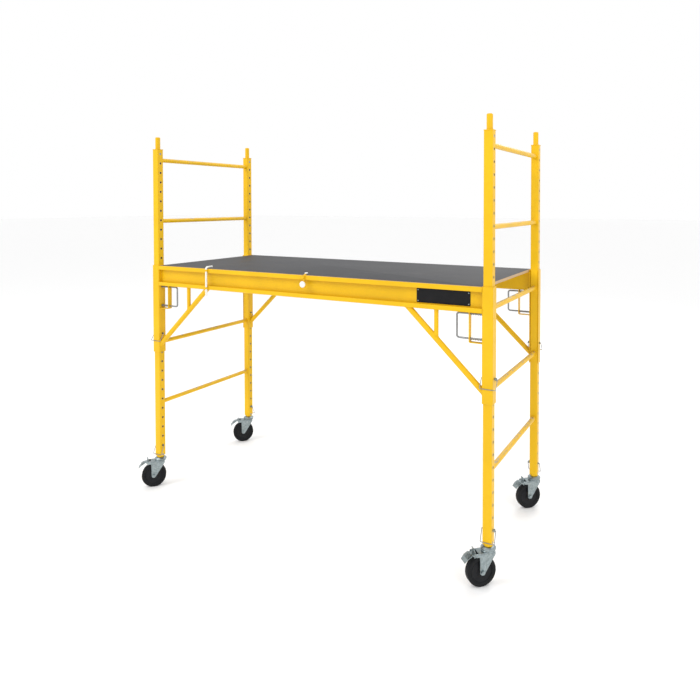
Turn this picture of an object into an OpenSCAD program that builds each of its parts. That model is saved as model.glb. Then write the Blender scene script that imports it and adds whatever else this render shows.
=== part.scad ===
// Rolling baker scaffold: two ladder end frames joined by a height-adjustable platform, on four
// braked swivel casters. +X runs along the platform, +Y from front to rear, +Z up. The origin is on
// the floor, midway between the four posts. Millimetres.

/* [End frames] */
// Distance between post centres along the platform
frame_length = 1850; // [1500:10:2400]
// Distance between post centres across the platform
frame_width = 724; // [640:2:900]
// Outside width of the square post tube
post_w = 38; // [36:0.5:40]
// Wall thickness of the post tube
post_wall = 2; // [1.6:0.1:2.5]
// Height of the lower end of the post tube
post_foot = 166; // [165:0.5:168]
// Height of the upper end of the post, with its top plate
post_head = 1822; // [1815:1:1860]
// Outside diameter of a rung tube
rung_d = 22; // [19:0.5:25]
// Height of the highest rung's centre
rung_top = 1764; // [1760:1:1775]
// Vertical distance between rungs
rung_pitch = 327.5; // [300:0.5:330]
// Number of rungs in each end frame
rung_count = 5; // [3:1:5]
// Length of coupling pin that stands above the post
spigot_up = 64; // [50:1:80]

/* [Hole grid] */
// Diameter of the adjustment holes
hole_d = 10; // [9.4:0.2:11]
// Vertical distance between adjustment holes
hole_pitch = 50.8; // [50.8:0.1:51]
// Height of the lowest hole, which takes the caster pin
hole_low = 222; // [218:1:224]

/* [Platform] */
// Height of the walking surface
deck_top = 1200; // [1199:0.5:1202]
// Thickness of the plywood
deck_t = 12.7; // [12:0.1:14]
// Height of the side beam
beam_h = 108; // [106:1:110]
// Depth of the beam's channel, from its lips to its web
beam_depth = 22.5; // [20:0.5:26]
// Sheet thickness of the beam
beam_t = 2.5; // [2:0.1:3]
// Height of the beam's two lips
lip_h = 20; // [16:1:22]
// Distance from post centre to the top of the diagonal brace
brace_reach = 353; // [345:1:365]
// Outside diameter of the diagonal brace tube
brace_d = 25; // [22:0.5:27]

/* [Locks] */
// Diameter of the U-shaped lock pin's rod
u_rod_d = 8; // [7:0.2:8.4]
// Distance from post centre to the U pin's grip
u_grip = 136; // [134:1:140]
// Wire diameter of the bails
bail_wire = 3; // [2.6:0.2:3.2]

/* [Casters] */
// Wheel diameter
wheel_d = 125; // [123:1:126]
// Wheel width
wheel_w = 32; // [28:1:33]
// Distance that the axle trails behind the swivel
trail = 34; // [32:1:36]
// Direction that the casters trail at rest, turned from -X towards -Y
caster_turn = 45; // [0:5:90]

/* [Hidden] */
$fn = 48;
CORNERS = ["front_left", "front_right", "rear_left", "rear_right"];
SIDE_X = [-1, 1, -1, 1];
SIDE_Y = [-1, -1, 1, 1];

function each_corner(stem) = [for (c = CORNERS) str(stem, "_", c)];

// finishes
YELLOW = [0.95, 0.68, 0.08];
ZINC = [0.72, 0.74, 0.76];
STEEL_WIRE = [0.55, 0.56, 0.58];
BLACK_FILM = [0.16, 0.16, 0.17];
TIMBER = [0.8, 0.66, 0.46];
RUBBER = [0.12, 0.12, 0.13];
WHITE = [0.92, 0.92, 0.9];

// end frames
post_half = post_w / 2;
post_x = frame_length / 2;
post_y = frame_width / 2;
post_r = 4;
plate_t = 3;
plate_w = post_w + 2.5;
spigot_d = 25.4;
spigot_in = 60;
spigot_chamfer = 3;
neck_d = spigot_d - 0.6;
neck_up = 2;
rung_wall = 1.8;
hole_count = floor((rung_top - 10 - hole_low) / hole_pitch) + 1;

// platform: each beam ends in two channels that wrap the posts on three sides
wrap_gap = 1;
wrap_t = 3;
wrap_half = post_half + wrap_gap + wrap_t;
wrap_low = deck_top - 468;
beam_low = deck_top - beam_h;
beam_end = post_x - wrap_half;
beam_face = post_y + wrap_half;
web_out = beam_face - beam_depth + beam_t;
ledge_top = deck_top - deck_t;
ledge_w = 45;
ledge_in = beam_face - ledge_w;
lip_up = deck_top - 1.5;
deck_gap = 1.5;
deck_end_gap = 4;
brace_foot = deck_top - 423;
brace_rise = beam_low - brace_foot;
brace_run = post_x - brace_reach - beam_end;
strut_d = 19;
strut_x = post_x - 225;
strut_foot = brace_foot + brace_rise * (strut_x - beam_end) / brace_run;
brace_in = 17;
tube_wall = 1.8;
cleat_w = 60;
cleat_t = 20;
cleat_x = 700;
screw_d = 4.5;
screw_rows = [-280, -95, 95, 280];
label_w = 239;
label_h = 60;
label_t = 1;
label_from_post = 77;
label_z = beam_low + 53;

// locks, at holes counted up from the lowest
u_hole_low = hole_low + 15 * hole_pitch;
u_hole_high = hole_low + 17 * hole_pitch;
truss_hole = hole_low + 12 * hole_pitch;
u_bracket_in = 57;
u_bracket_t = 3;
u_bracket_w = 25;
u_bracket_low = deck_top - 232;
u_tip = 15;
u_bend = 10;
u_washer_t = 2.2;
u_washer_d = 12;
u_washer_gap = 0.3;
spring_wire = 1.4;
spring_d = 12;
spring_turns = 6;
spring_steps = 12;
spring_sides = 6;
lock_pin_d = 8;
lock_head_d = 14;
lock_head_t = 4;
head_over = 10;
head_from_post = 4.5;
tail_over = 5.5;
bail_hole_d = bail_wire + 0.5;
bail_in = 4;
bail_out = 2.6;
bail_bend = 2.4;
bail_touch = 0.5;
bail_len_truss = 46;
bail_len_caster = 52;
// side of the post that each pin's head is on: 1 is away from the platform
truss_head = [1, 1, 1, -1];
caster_head = [1, 1, -1, -1];

// deck latch and deck clip, both turning on upright spindles in front of the beam
latch_x = -556;
latch_d = 10;
latch_in = 42;
latch_low = deck_top - 138;
clip_x = 44;
clip_d = 8;
clip_in = 32;
knob_d = 30;
knob_t = 9;
knob_z = deck_top - 42;
spindle_gap = 0.5;
guide_h = 9;
guide_wall = 3;

// casters, drawn about the swivel axis with the wheel trailing to -X
wheel_r = wheel_d / 2;
leg_t = 3.5;
leg_in = wheel_w / 2 + 3;
leg_out = leg_in + leg_t;
leg_tip_r = 11;
crown_low = 136.5;
crown_t = 3.5;
race_low = crown_low + crown_t;
race_top = race_low + 5;
dome_low = race_top + 0.4;
dome_top = post_foot - 8;
stem_r = 14;
stem_top = 250;
kingpin_r = 8;
kingpin_low = 128;
axle_r = 5;
bush_r = 8;
run_gap = 0.05;
brake_x = -64;
brake_z = 134;
trunnion_d = 6;

// ------------------------------------------------------------------ shared shapes

// Points of an arc about c, from angle a0 to angle a1
function arc(c, r, a0, a1, n = 6) =
    [for (i = [0:n]) let (a = a0 + (a1 - a0) * i / n) c + r * [cos(a), sin(a)]];

function unit(v) = v / norm(v);
function cross2(a, b) = a[0] * b[1] - a[1] * b[0];
function heading(v) = atan2(v[1], v[0]);
function left_of(a, b) = let (d = unit(b - a)) [-d[1], d[0]];

// Half of the angle inside the corner b, and how far a bend of radius r cuts it back
function half_angle(a, b, c) = acos(unit(a - b) * unit(c - b)) / 2;
function cut_back(a, b, c, r) = r / tan(half_angle(a, b, c));

// One bend of a flat path, as [point, left normal] pairs round the corner b
function bend(a, b, c, r, n) =
    let (ua = unit(a - b), uc = unit(c - b), half = half_angle(a, b, c),
         turn = sign(cross2(b - a, c - b)), centre = b + unit(ua + uc) * r / sin(half),
         s = b + ua * cut_back(a, b, c, r) - centre, sweep = turn * (180 - 2 * half))
    [for (i = [0:n]) let (t = sweep * i / n,
         d = [s[0] * cos(t) - s[1] * sin(t), s[0] * sin(t) + s[1] * cos(t)])
        [centre + d, -turn * unit(d)]];

// A flat path with rounded corners, as [point, left normal] pairs
function rounded_path(p, r, n) = let (m = len(p) - 1) concat(
    [[p[0], left_of(p[0], p[1])]],
    [for (i = [1:1:m - 1]) each bend(p[i - 1], p[i], p[i + 1], r, n)],
    [[p[m], left_of(p[m - 1], p[m])]]);

// A strip of sheet, t thick, bent along the flat path p with centre-line radius r
module strip(p, t, r, n = 4) {
    q = rounded_path(p, r, n);
    m = len(q) - 1;
    polygon(concat(
        [for (i = [0:m]) q[i][0] + q[i][1] * t / 2],
        [for (i = [m:-1:0]) q[i][0] - q[i][1] * t / 2]));
}

// A round rod, d thick, bent in the XY plane along the path p with centre-line radius r
module rod(p, d, r) {
    m = len(p) - 1;
    for (i = [0:m - 1]) {
        dir = unit(p[i + 1] - p[i]);
        back_a = i == 0 ? 0 : cut_back(p[i - 1], p[i], p[i + 1], r);
        back_b = i == m - 1 ? 0 : cut_back(p[i], p[i + 1], p[i + 2], r);
        translate(p[i] + dir * back_a) rotate([0, 90, heading(dir)])
            cylinder(h = norm(p[i + 1] - p[i]) - back_a - back_b, d = d, $fn = 24);
    }
    for (i = [1:1:m - 1]) rod_bend(p[i - 1], p[i], p[i + 1], d, r);
}

module rod_bend(a, b, c, d, r) {
    half = half_angle(a, b, c);
    inwards = unit(unit(a - b) + unit(c - b));
    translate(b + inwards * r / sin(half)) rotate([0, 0, heading(-inwards) - (90 - half)])
        rotate_extrude(angle = 180 - 2 * half) translate([r, 0]) circle(d = d, $fn = 24);
}

// Rectangle with round corners, as a flat outline
module round_rect(l, w, r) {
    square([l, w - 2 * r], center = true);
    square([l - 2 * r, w], center = true);
    for (a = [-1, 1], b = [-1, 1]) translate([a * (l / 2 - r), b * (w / 2 - r)]) circle(r = r, $fn = 32);
}

module along_x(len, d) { rotate([0, 90, 0]) cylinder(h = len, d = d, center = true, $fn = 32); }
module along_y(len, d) { rotate([90, 0, 0]) cylinder(h = len, d = d, center = true, $fn = 32); }

// Stands a flat outline up in the XZ plane, w wide along Y and centred on it
module upright(w) { rotate([90, 0, 0]) linear_extrude(w, center = true) children(); }

// Stands a flat outline up in the YZ plane, w long along X and centred on it
module lengthwise(w) { rotate([90, 0, 90]) linear_extrude(w, center = true) children(); }

// Places a piece at corner i; it is drawn about the post's axis for the front right corner
module at_corner(i) {
    translate([SIDE_X[i] * post_x, SIDE_Y[i] * post_y, 0])
        mirror([SIDE_X[i] < 0 ? 1 : 0, 0, 0]) mirror([0, SIDE_Y[i] > 0 ? 1 : 0, 0]) children();
}

// Repeats a front piece at the given side of the platform
module at_side(s) { mirror([0, s > 0 ? 1 : 0, 0]) children(); }

// Repeats a right-hand piece at both ends of the platform
module at_both_ends() {
    children();
    mirror([1, 0, 0]) children();
}

// ------------------------------------------------------------------ end frames

module post(i) {
    color(YELLOW) translate([SIDE_X[i] * post_x, SIDE_Y[i] * post_y, 0]) difference() {
        translate([0, 0, post_foot]) linear_extrude(post_head - plate_t - post_foot) difference() {
            round_rect(post_w, post_w, post_r);
            round_rect(post_w - 2 * post_wall, post_w - 2 * post_wall, post_r - post_wall);
        }
        for (k = [0:hole_count - 1]) translate([0, 0, hole_low + k * hole_pitch])
            along_x(post_w + 4, hole_d);
    }
}

module post_top_plates() {
    color(YELLOW) for (i = [0:3]) at_corner(i) translate([0, 0, post_head - plate_t]) difference() {
        linear_extrude(plate_t) round_rect(plate_w, plate_w, post_r);
        translate([0, 0, -1]) cylinder(h = plate_t + 2, d = neck_d);
    }
}

// Pins that a second end frame stacks on, each with a slightly thinner neck through the plate
module coupling_pins() {
    neck = neck_d / 2;
    r = spigot_d / 2;
    low = post_head - plate_t - spigot_in;
    high = post_head + spigot_up;
    color(YELLOW) for (i = [0:3]) at_corner(i) rotate_extrude() polygon([
        [0, low], [neck, low], [neck, post_head + neck_up], [r, post_head + neck_up],
        [r, high - spigot_chamfer], [r - spigot_chamfer, high], [0, high]]);
}

// Round yellow ring between the square post and the caster
module foot_collars() {
    wide = post_half + 0.5;
    color(YELLOW) for (i = [0:3]) at_corner(i) rotate_extrude() polygon(concat(
        [[wide, post_foot], [stem_r + 0.1, post_foot], [stem_r + 0.1, dome_top]],
        arc([wide - 3, dome_top + 3], 3, -90, 0)));
}

module rungs(side) {
    span = frame_width - post_w;
    color(YELLOW) for (k = [0:rung_count - 1])
        translate([side * post_x, 0, rung_top - k * rung_pitch]) difference() {
            along_y(span, rung_d);
            along_y(span + 2, rung_d - 2 * rung_wall);
        }
}

// ------------------------------------------------------------------ platform

module beam(s) {
    face = -beam_face + beam_t / 2;
    web = -web_out + beam_t / 2;
    floor_z = beam_low + beam_t / 2;
    color(YELLOW) at_side(s) {
        // upper lip, and the ledge that the deck lies on
        lengthwise(2 * beam_end) strip([[face, lip_up - lip_h], [face, lip_up]], beam_t, 1);
        lengthwise(2 * beam_end) translate([face, ledge_top - beam_t])
            square([ledge_w - beam_t / 2, beam_t]);
        // web, bottom flange and lower lip
        lengthwise(2 * beam_end) strip([[web, ledge_top - beam_t / 2], [web, floor_z],
            [face, floor_z], [face, beam_low + lip_h]], beam_t, 3);
    }
}

module end_channels(s) {
    mid = wrap_half - wrap_t / 2;
    open_end = post_half + 2;
    color(YELLOW) at_side(s) at_both_ends() difference() {
        translate([post_x, -post_y, wrap_low]) linear_extrude(deck_top - wrap_low)
            strip([[-mid, open_end], [-mid, -mid], [mid, -mid], [mid, open_end]], wrap_t, 3.5);
        translate([post_x, -post_y, truss_hole]) along_x(2 * wrap_half + 4, hole_d);
        for (z = [u_hole_low, u_hole_high])
            translate([beam_end, -post_y, z]) along_x(4 * wrap_t, u_rod_d + 1);
    }
}

// Diagonal tubes from the end channels up to the beam
module braces() {
    color(YELLOW) for (s = [-1, 1]) at_side(s) at_both_ends() under_beam() difference() {
        brace_rod(brace_d);
        brace_rod(brace_d - 2 * tube_wall);
    }
}

// Short upright tubes between the braces and the beam
module struts() {
    color(YELLOW) for (s = [-1, 1]) at_side(s) at_both_ends() under_beam() difference() {
        strut_rod(strut_d);
        strut_rod(strut_d - 2 * tube_wall);
        brace_rod(brace_d);
    }
}

// Moves pieces to the braces' plane and cuts them off at the beam and the end channel
module under_beam() {
    intersection() {
        translate([0, brace_in - beam_face, 0]) children();
        translate([0, -beam_face, 0]) cube([beam_end, beam_face, beam_low]);
    }
}

// Cylinder along the brace, longer than the brace at both ends
module brace_rod(d) {
    over = 2 * brace_d;
    translate([beam_end, 0, brace_foot]) rotate([0, atan2(brace_run, brace_rise), 0])
        translate([0, 0, -over]) cylinder(h = norm([brace_run, brace_rise]) + 2 * over, d = d);
}

// Cylinder that stands on the brace's axis and reaches past the beam's underside
module strut_rod(d) {
    translate([strut_x, 0, strut_foot]) cylinder(h = brace_rise, d = d);
}

// Flat steel straps under the beam that guide the U pins
module pin_brackets(s) {
    x = beam_end - u_bracket_in;
    z = u_bracket_low + u_bracket_t / 2;
    color(YELLOW) at_side(s) at_both_ends() translate([0, -post_y, 0]) difference() {
        upright(u_bracket_w) strip([[x, beam_low], [x, z], [beam_end, z]], u_bracket_t, 5);
        for (h = [u_hole_low, u_hole_high]) translate([x, 0, h]) along_x(20, u_rod_d + 1);
    }
}

module deck_panel() {
    color(BLACK_FILM) translate([0, 0, ledge_top]) linear_extrude(deck_t)
        round_rect(2 * (beam_end - deck_end_gap), 2 * (beam_face - beam_t - deck_gap), 5);
}

module deck_cleats() {
    color(TIMBER) for (a = [-1, 1]) translate([a * cleat_x, 0, ledge_top - cleat_t / 2])
        cube([cleat_w, 2 * ledge_in - 4, cleat_t], center = true);
}

// Wood screws driven up through the cleats into the deck
module deck_screws() {
    low = ledge_top - cleat_t;
    color(ZINC) for (a = [-1, 1], y = screw_rows) translate([a * cleat_x, y, low]) rotate_extrude()
        polygon([[0, -2], [screw_d * 0.9, -1.4], [screw_d, 0], [screw_d / 2, 0.01],
            [screw_d / 2, cleat_t + 5], [0, cleat_t + 8]]);
}

module label_plate() {
    color(RUBBER) translate([post_x - label_from_post - label_w / 2, -web_out - label_t / 2, label_z])
        upright(label_t) round_rect(label_w, label_h, 4);
}

module label_rivets() {
    inset = 7;
    color(ZINC) for (a = [-1, 1], b = [-1, 1])
        translate([post_x - label_from_post - label_w / 2 + a * (label_w / 2 - inset),
                -web_out - label_t, label_z + b * (label_h / 2 - inset)])
            rotate([90, 0, 0]) rotate_extrude() polygon(concat([[0, -label_t - beam_t - 1],
                [1.6, -label_t - beam_t - 1], [1.6, 0], [3.2, 0]], arc([1.4, 0], 1.8, 0, 90), [[0, 1.8]]));
}

// Upright spindle in front of the beam whose top end turns in over the deck
module spindle(d, low, reach) {
    y = -beam_face - d / 2 - spindle_gap;
    z = deck_top + d / 2 + 2.5;
    rotate([90, 0, 90]) rod([[y, low], [y, z], [y + reach, z]], d, d);
}

module deck_latch() {
    color(WHITE) translate([latch_x, 0, 0]) {
        spindle(latch_d, latch_low, latch_in);
        translate([0, -beam_face - latch_d / 2 - spindle_gap, beam_low - 6])
            cylinder(h = 3, d = latch_d + 6);
    }
}

module deck_clip() {
    y = -beam_face - clip_d / 2 - spindle_gap;
    color(WHITE) translate([clip_x, 0, 0]) {
        spindle(clip_d, knob_z - 8, clip_in);
        translate([0, y - clip_d / 2 - knob_t / 2 + 1, knob_z]) along_y(knob_t, knob_d);
    }
}

module latch_guides() {
    color(YELLOW) {
        guide(latch_x, latch_d, beam_low + 5);
        guide(latch_x, latch_d, lip_up - guide_h - 3);
        guide(clip_x, clip_d, lip_up - guide_h - 3);
    }
}

module guide(x, d, z) {
    out = d / 2 + spindle_gap;
    outer = d + 2 * guide_wall;
    translate([x, -beam_face - out, z]) difference() {
        union() {
            cylinder(h = guide_h, d = outer);
            translate([-outer / 2, 0, 0]) cube([outer, out, guide_h]);
        }
        translate([0, 0, -1]) cylinder(h = guide_h + 2, d = d + 0.6);
        translate([-outer, out, -1]) cube([2 * outer, outer, guide_h + 2]);
    }
}

// ------------------------------------------------------------------ locks

module u_pin(i) {
    washer_x = -wrap_half - u_washer_gap - u_washer_t / 2;
    color(STEEL_WIRE) at_corner(i) {
        rotate([90, 0, 0]) rod([[u_tip, u_hole_high], [-u_grip, u_hole_high],
            [-u_grip, u_hole_low], [u_tip, u_hole_low]], u_rod_d, u_bend);
        for (z = [u_hole_low, u_hole_high]) translate([washer_x, 0, z]) along_x(u_washer_t, u_washer_d);
    }
}

// Coil springs between the bracket and the U pin's washers
module u_pin_springs(i) {
    low = -wrap_half - u_bracket_in + u_bracket_t / 2 + 0.2;
    high = -wrap_half - u_washer_gap - u_washer_t - 0.2;
    color(ZINC) at_corner(i) for (z = [u_hole_low, u_hole_high])
        translate([low, 0, z]) coil(high - low, spring_d, spring_wire, spring_turns);
}

// Helical wire along +X, len long over its ends
module coil(len, d, wire, turns) {
    r = (d - wire) / 2;
    rings = turns * spring_steps;
    rise = len - wire;
    lead = rise / (turns * 2 * PI);
    points = [for (j = [0:rings]) let (a = 360 * turns * j / rings,
            out = [0, cos(a), sin(a)], ahead = unit([lead, -r * sin(a), r * cos(a)]),
            up = cross(ahead, out), mid = [wire / 2 + rise * j / rings, 0, 0] + r * out)
        for (k = [0:spring_sides - 1]) let (b = 360 * k / spring_sides)
            mid + wire / 2 * (cos(b) * out + sin(b) * up)];
    walls = [for (j = [0:rings - 1], k = [0:spring_sides - 1])
        let (k2 = (k + 1) % spring_sides, p = j * spring_sides, q = p + spring_sides)
            each [[p + k, q + k2, p + k2], [p + k, q + k, q + k2]]];
    first = [for (k = [0:spring_sides - 1]) k];
    last = [for (k = [spring_sides - 1:-1:0]) rings * spring_sides + k];
    polyhedron(points, concat(walls, [first, last]));
}

// Pin across the post with a hole in each end for the bail, and its head towards +X
module lock_pin(half) {
    tail = -half - tail_over;
    tip = half + head_over;
    difference() {
        union() {
            translate([(tip + tail) / 2, 0, 0]) along_x(tip - tail, lock_pin_d);
            translate([half + head_from_post + lock_head_t / 2, 0, 0]) along_x(lock_head_t, lock_head_d);
        }
        for (x = [tail, tip]) translate([x, 0, 0]) along_x(2 * (bail_in + 0.8), bail_hole_d);
    }
}

// Wire bail that hangs from both ends of a lock pin and rests against the front of the post
module bail(half, reach) {
    tail = -half - tail_over;
    tip = half + head_over;
    lean = asin((half + bail_wire / 2 + bail_touch) / reach);
    rotate([-90 - lean, 0, 0]) rod([[tip - bail_in, 0], [tip + bail_out, 0], [tip + bail_out, reach],
        [tail - bail_out, reach], [tail - bail_out, 0], [tail + bail_in, 0]], bail_wire, bail_bend);
}

// Turns a lock pin and its bail end for end where the head is towards the platform
module head_out(head) { mirror([head < 0 ? 1 : 0, 0, 0]) children(); }

module truss_lock_pins() {
    color(ZINC) for (i = [0:3]) at_corner(i) translate([0, 0, truss_hole])
        head_out(truss_head[i]) lock_pin(wrap_half);
}

module caster_lock_pins() {
    color(ZINC) for (i = [0:3]) at_corner(i) translate([0, 0, hole_low])
        head_out(caster_head[i]) lock_pin(post_half);
}

module truss_bail(i) {
    color(STEEL_WIRE) at_corner(i) translate([0, 0, truss_hole])
        head_out(truss_head[i]) bail(wrap_half, bail_len_truss);
}

module caster_bail(i) {
    color(STEEL_WIRE) at_corner(i) translate([0, 0, hole_low])
        head_out(caster_head[i]) bail(post_half, bail_len_caster);
}

// ------------------------------------------------------------------ casters

module at_caster(i) {
    translate([SIDE_X[i] * post_x, SIDE_Y[i] * post_y, 0]) rotate([0, 0, caster_turn]) children();
}

// Fixed half of the swivel: stem in the post, upper race, kingpin and its nut
module caster_stems() {
    color(ZINC) for (i = [0:3]) at_corner(i) difference() {
        union() {
            rotate_extrude() polygon([[0, kingpin_low], [kingpin_r, kingpin_low],
                [kingpin_r, dome_low], [29, dome_low], [31, dome_low + 1.5], [31, dome_low + 5],
                [23, dome_top - 1.5], [19, dome_top], [stem_r, dome_top],
                [stem_r, stem_top - 4], [stem_r - 4, stem_top], [0, stem_top]]);
            translate([0, 0, kingpin_low]) cylinder(h = 6.5, d = 24, $fn = 6);
        }
        translate([0, 0, hole_low]) along_x(2 * stem_r + 2, lock_pin_d + 1);
    }
}

// Outline of a fork leg, with the ear that holds the brake pedal
function leg_outline() =
    let (hub = [-trail, wheel_r], rear = [-46.5, 124], front = [20, 126],
         a_rear = heading(rear - hub) + acos(leg_tip_r / norm(rear - hub)),
         a_front = heading(front - hub) - acos(leg_tip_r / norm(front - hub)))
    concat([[22, race_low], [-60, race_low]], arc([-66, 136], 6, 138, 240, 5), [[-60, 126], rear],
        arc(hub, leg_tip_r, a_rear, 360 + a_front, 10), [front, [22, 130]]);

module caster_fork(i) {
    color(ZINC) at_caster(i) difference() {
        union() {
            for (a = [-1, 1]) translate([0, a * (leg_in + leg_t / 2), 0])
                upright(leg_t) polygon(leg_outline());
            translate([-50, -leg_out, crown_low]) cube([72, 2 * leg_out, crown_t]);
            translate([0, 0, race_low]) rotate_extrude()
                polygon([[0, -1], [29, -1], [29, 2], [26, race_top - race_low], [0, race_top - race_low]]);
        }
        translate([0, 0, crown_low - 1]) cylinder(h = 20, r = kingpin_r + 0.1);
        translate([-trail, 0, wheel_r]) along_y(4 * leg_out, 2 * axle_r + 0.3);
        translate([brake_x, 0, brake_z]) along_y(4 * leg_out, trunnion_d + 0.16);
    }
}

// Axle bolt with its nut, and the bush that the wheel turns on
module caster_axle(i) {
    color(ZINC) at_caster(i) translate([-trail, 0, wheel_r]) rotate([90, 0, 0]) {
        cylinder(h = 2 * leg_out + 8, r = axle_r, center = true);
        cylinder(h = 2 * leg_in - 0.4, r = bush_r, center = true);
        translate([0, 0, leg_out]) cylinder(h = 5.5, d = 17, $fn = 6);
        mirror([0, 0, 1]) translate([0, 0, leg_out]) cylinder(h = 7, d = 17, $fn = 6);
    }
}

// Half of the wheel's section, as [radius, width], from bore to tread
function wheel_half() = let (w = wheel_w / 2) concat(
    [[bush_r + run_gap, w + 1.5], [18, w + 1.5], [20, w - 1], [23, w - 6], [43, w - 6], [46, w - 1],
     [49, w]], arc([wheel_r - 6, w - 6], 6, 90, 0, 5));

module caster_wheel(i) {
    half = wheel_half();
    last = len(half) - 1;
    color(RUBBER) at_caster(i) translate([-trail, 0, wheel_r]) rotate([90, 0, 0]) rotate_extrude($fn = 72)
        polygon(concat(half, [for (k = [last:-1:0]) [half[k][0], -half[k][1]]]));
}

// Foot brake: pivot barrel, pedal to press on, tab to kick off, and the shoe over the tread
module caster_brake(i) {
    color(ZINC) at_caster(i) translate([brake_x, 0, brake_z]) {
        along_y(2 * leg_in - 0.6, 10);
        along_y(2 * leg_out + 3, trunnion_d);
        upright(34) strip([[0, 3], [-16, 5], [-38, -8]], 2.5, 5);
        upright(42) strip([[-16, 5], [-38, -8], [-47, -24]], 2.5, 5);
        upright(26) strip([[-1, 2], [4, 14], [-4, 25]], 2.5, 5);
        upright(26) strip([[0, 0], [0, -14.5]], 4, 1);
    }
}

// ------------------------------------------------------------------ drawing

for (i = [0:3]) {
    post(i);
    u_pin(i);
    u_pin_springs(i);
    truss_bail(i);
    caster_bail(i);
    caster_fork(i);
    caster_axle(i);
    caster_wheel(i);
    caster_brake(i);
}
post_top_plates();
coupling_pins();
foot_collars();
rungs(-1);  // rungs_left
rungs(1);  // rungs_right
beam(-1);  // beam_front
beam(1);  // beam_rear
end_channels(-1);  // end_channels_front
end_channels(1);  // end_channels_rear
braces();
struts();
pin_brackets(-1);  // pin_brackets_front
pin_brackets(1);  // pin_brackets_rear
deck_panel();
deck_cleats();
deck_screws();
label_plate();
label_rivets();
deck_latch();
deck_clip();
latch_guides();
truss_lock_pins();
caster_lock_pins();
caster_stems();
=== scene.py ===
"""Looks of a rolling baker scaffold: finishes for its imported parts, and detailed pieces that ride on them."""

import logging
import math
from collections.abc import Callable, Iterable, Sequence
from dataclasses import dataclass, field
from enum import Enum
from typing import ClassVar

import bmesh
import bpy
from mathutils import Matrix, Vector


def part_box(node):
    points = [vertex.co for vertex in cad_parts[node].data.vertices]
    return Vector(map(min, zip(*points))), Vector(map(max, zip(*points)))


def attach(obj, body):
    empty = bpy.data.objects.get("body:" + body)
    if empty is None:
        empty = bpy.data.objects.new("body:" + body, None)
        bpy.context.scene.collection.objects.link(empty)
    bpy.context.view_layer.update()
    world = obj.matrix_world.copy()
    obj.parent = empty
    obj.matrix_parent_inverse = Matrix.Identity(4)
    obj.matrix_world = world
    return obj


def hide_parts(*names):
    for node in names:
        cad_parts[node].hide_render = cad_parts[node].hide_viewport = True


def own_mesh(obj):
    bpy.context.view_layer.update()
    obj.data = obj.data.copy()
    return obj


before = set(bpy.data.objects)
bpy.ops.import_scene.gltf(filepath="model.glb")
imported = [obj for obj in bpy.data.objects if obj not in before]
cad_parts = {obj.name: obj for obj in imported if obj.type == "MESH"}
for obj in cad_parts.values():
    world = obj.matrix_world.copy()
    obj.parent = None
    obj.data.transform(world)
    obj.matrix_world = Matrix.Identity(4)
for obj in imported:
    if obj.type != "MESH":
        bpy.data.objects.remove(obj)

LOG = logging.getLogger("scaffold")
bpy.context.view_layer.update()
MM = 0.001
TAU = 2 * math.pi
FRAME_BODY = "scaffold_frame"

Colour = tuple[float, float, float, float]
Flat = tuple[float, float]
Socket = bpy.types.NodeSocket


class Corner(Enum):
    """The four posts, each with its side along X and along Y."""

    FRONT_LEFT = ("front_left", -1, -1)
    FRONT_RIGHT = ("front_right", 1, -1)
    REAR_LEFT = ("rear_left", -1, 1)
    REAR_RIGHT = ("rear_right", 1, 1)

    @property
    def label(self) -> str:
        """The corner's part of a node's name."""
        return self.value[0]

    @property
    def side_x(self) -> int:
        """-1 at the left end frame, 1 at the right one."""
        return self.value[1]

    def node(self, stem: str) -> str:
        """Name of this corner's node of a kind."""
        return f"{stem}_{self.label}"


def centre_of(node: str) -> Vector:
    """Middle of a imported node's box, in metres."""
    low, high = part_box(node)
    return (low + high) / 2


# ---------------------------------------------------------------- shader nodes


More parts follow.
